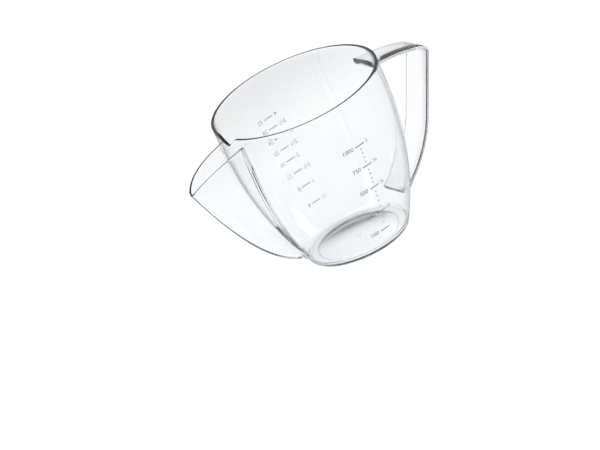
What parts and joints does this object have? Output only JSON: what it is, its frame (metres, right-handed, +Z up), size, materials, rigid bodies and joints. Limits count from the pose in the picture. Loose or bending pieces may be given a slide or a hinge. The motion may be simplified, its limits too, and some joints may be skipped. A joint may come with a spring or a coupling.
{
  "type": "gravy fat separator",
  "caption": "Clear moulded jug with a beak spout fed from a slot low in its front wall, so that fat stays behind, a dipped rim over the spout and a broad strap handle.",
  "frame": {"origin": "on the cup's axis, level with the ring that the cup stands on, which is also the middle of the base of the bounding box", "axes": "+Z up along the cup's axis, -X towards the spout, +X towards the handle, Y across"},
  "size_m": [0.229, 0.137, 0.134],
  "materials": {
    "cup_plastic": "clear glossy moulded plastic",
    "spout_plastic": "clear glossy moulded plastic",
    "handle_plastic": "clear glossy moulded plastic"
  },
  "bodies": {
    "root": {"cup": "cup_plastic", "spout": "spout_plastic", "handle": "handle_plastic"}
  },
  "joints": []
}
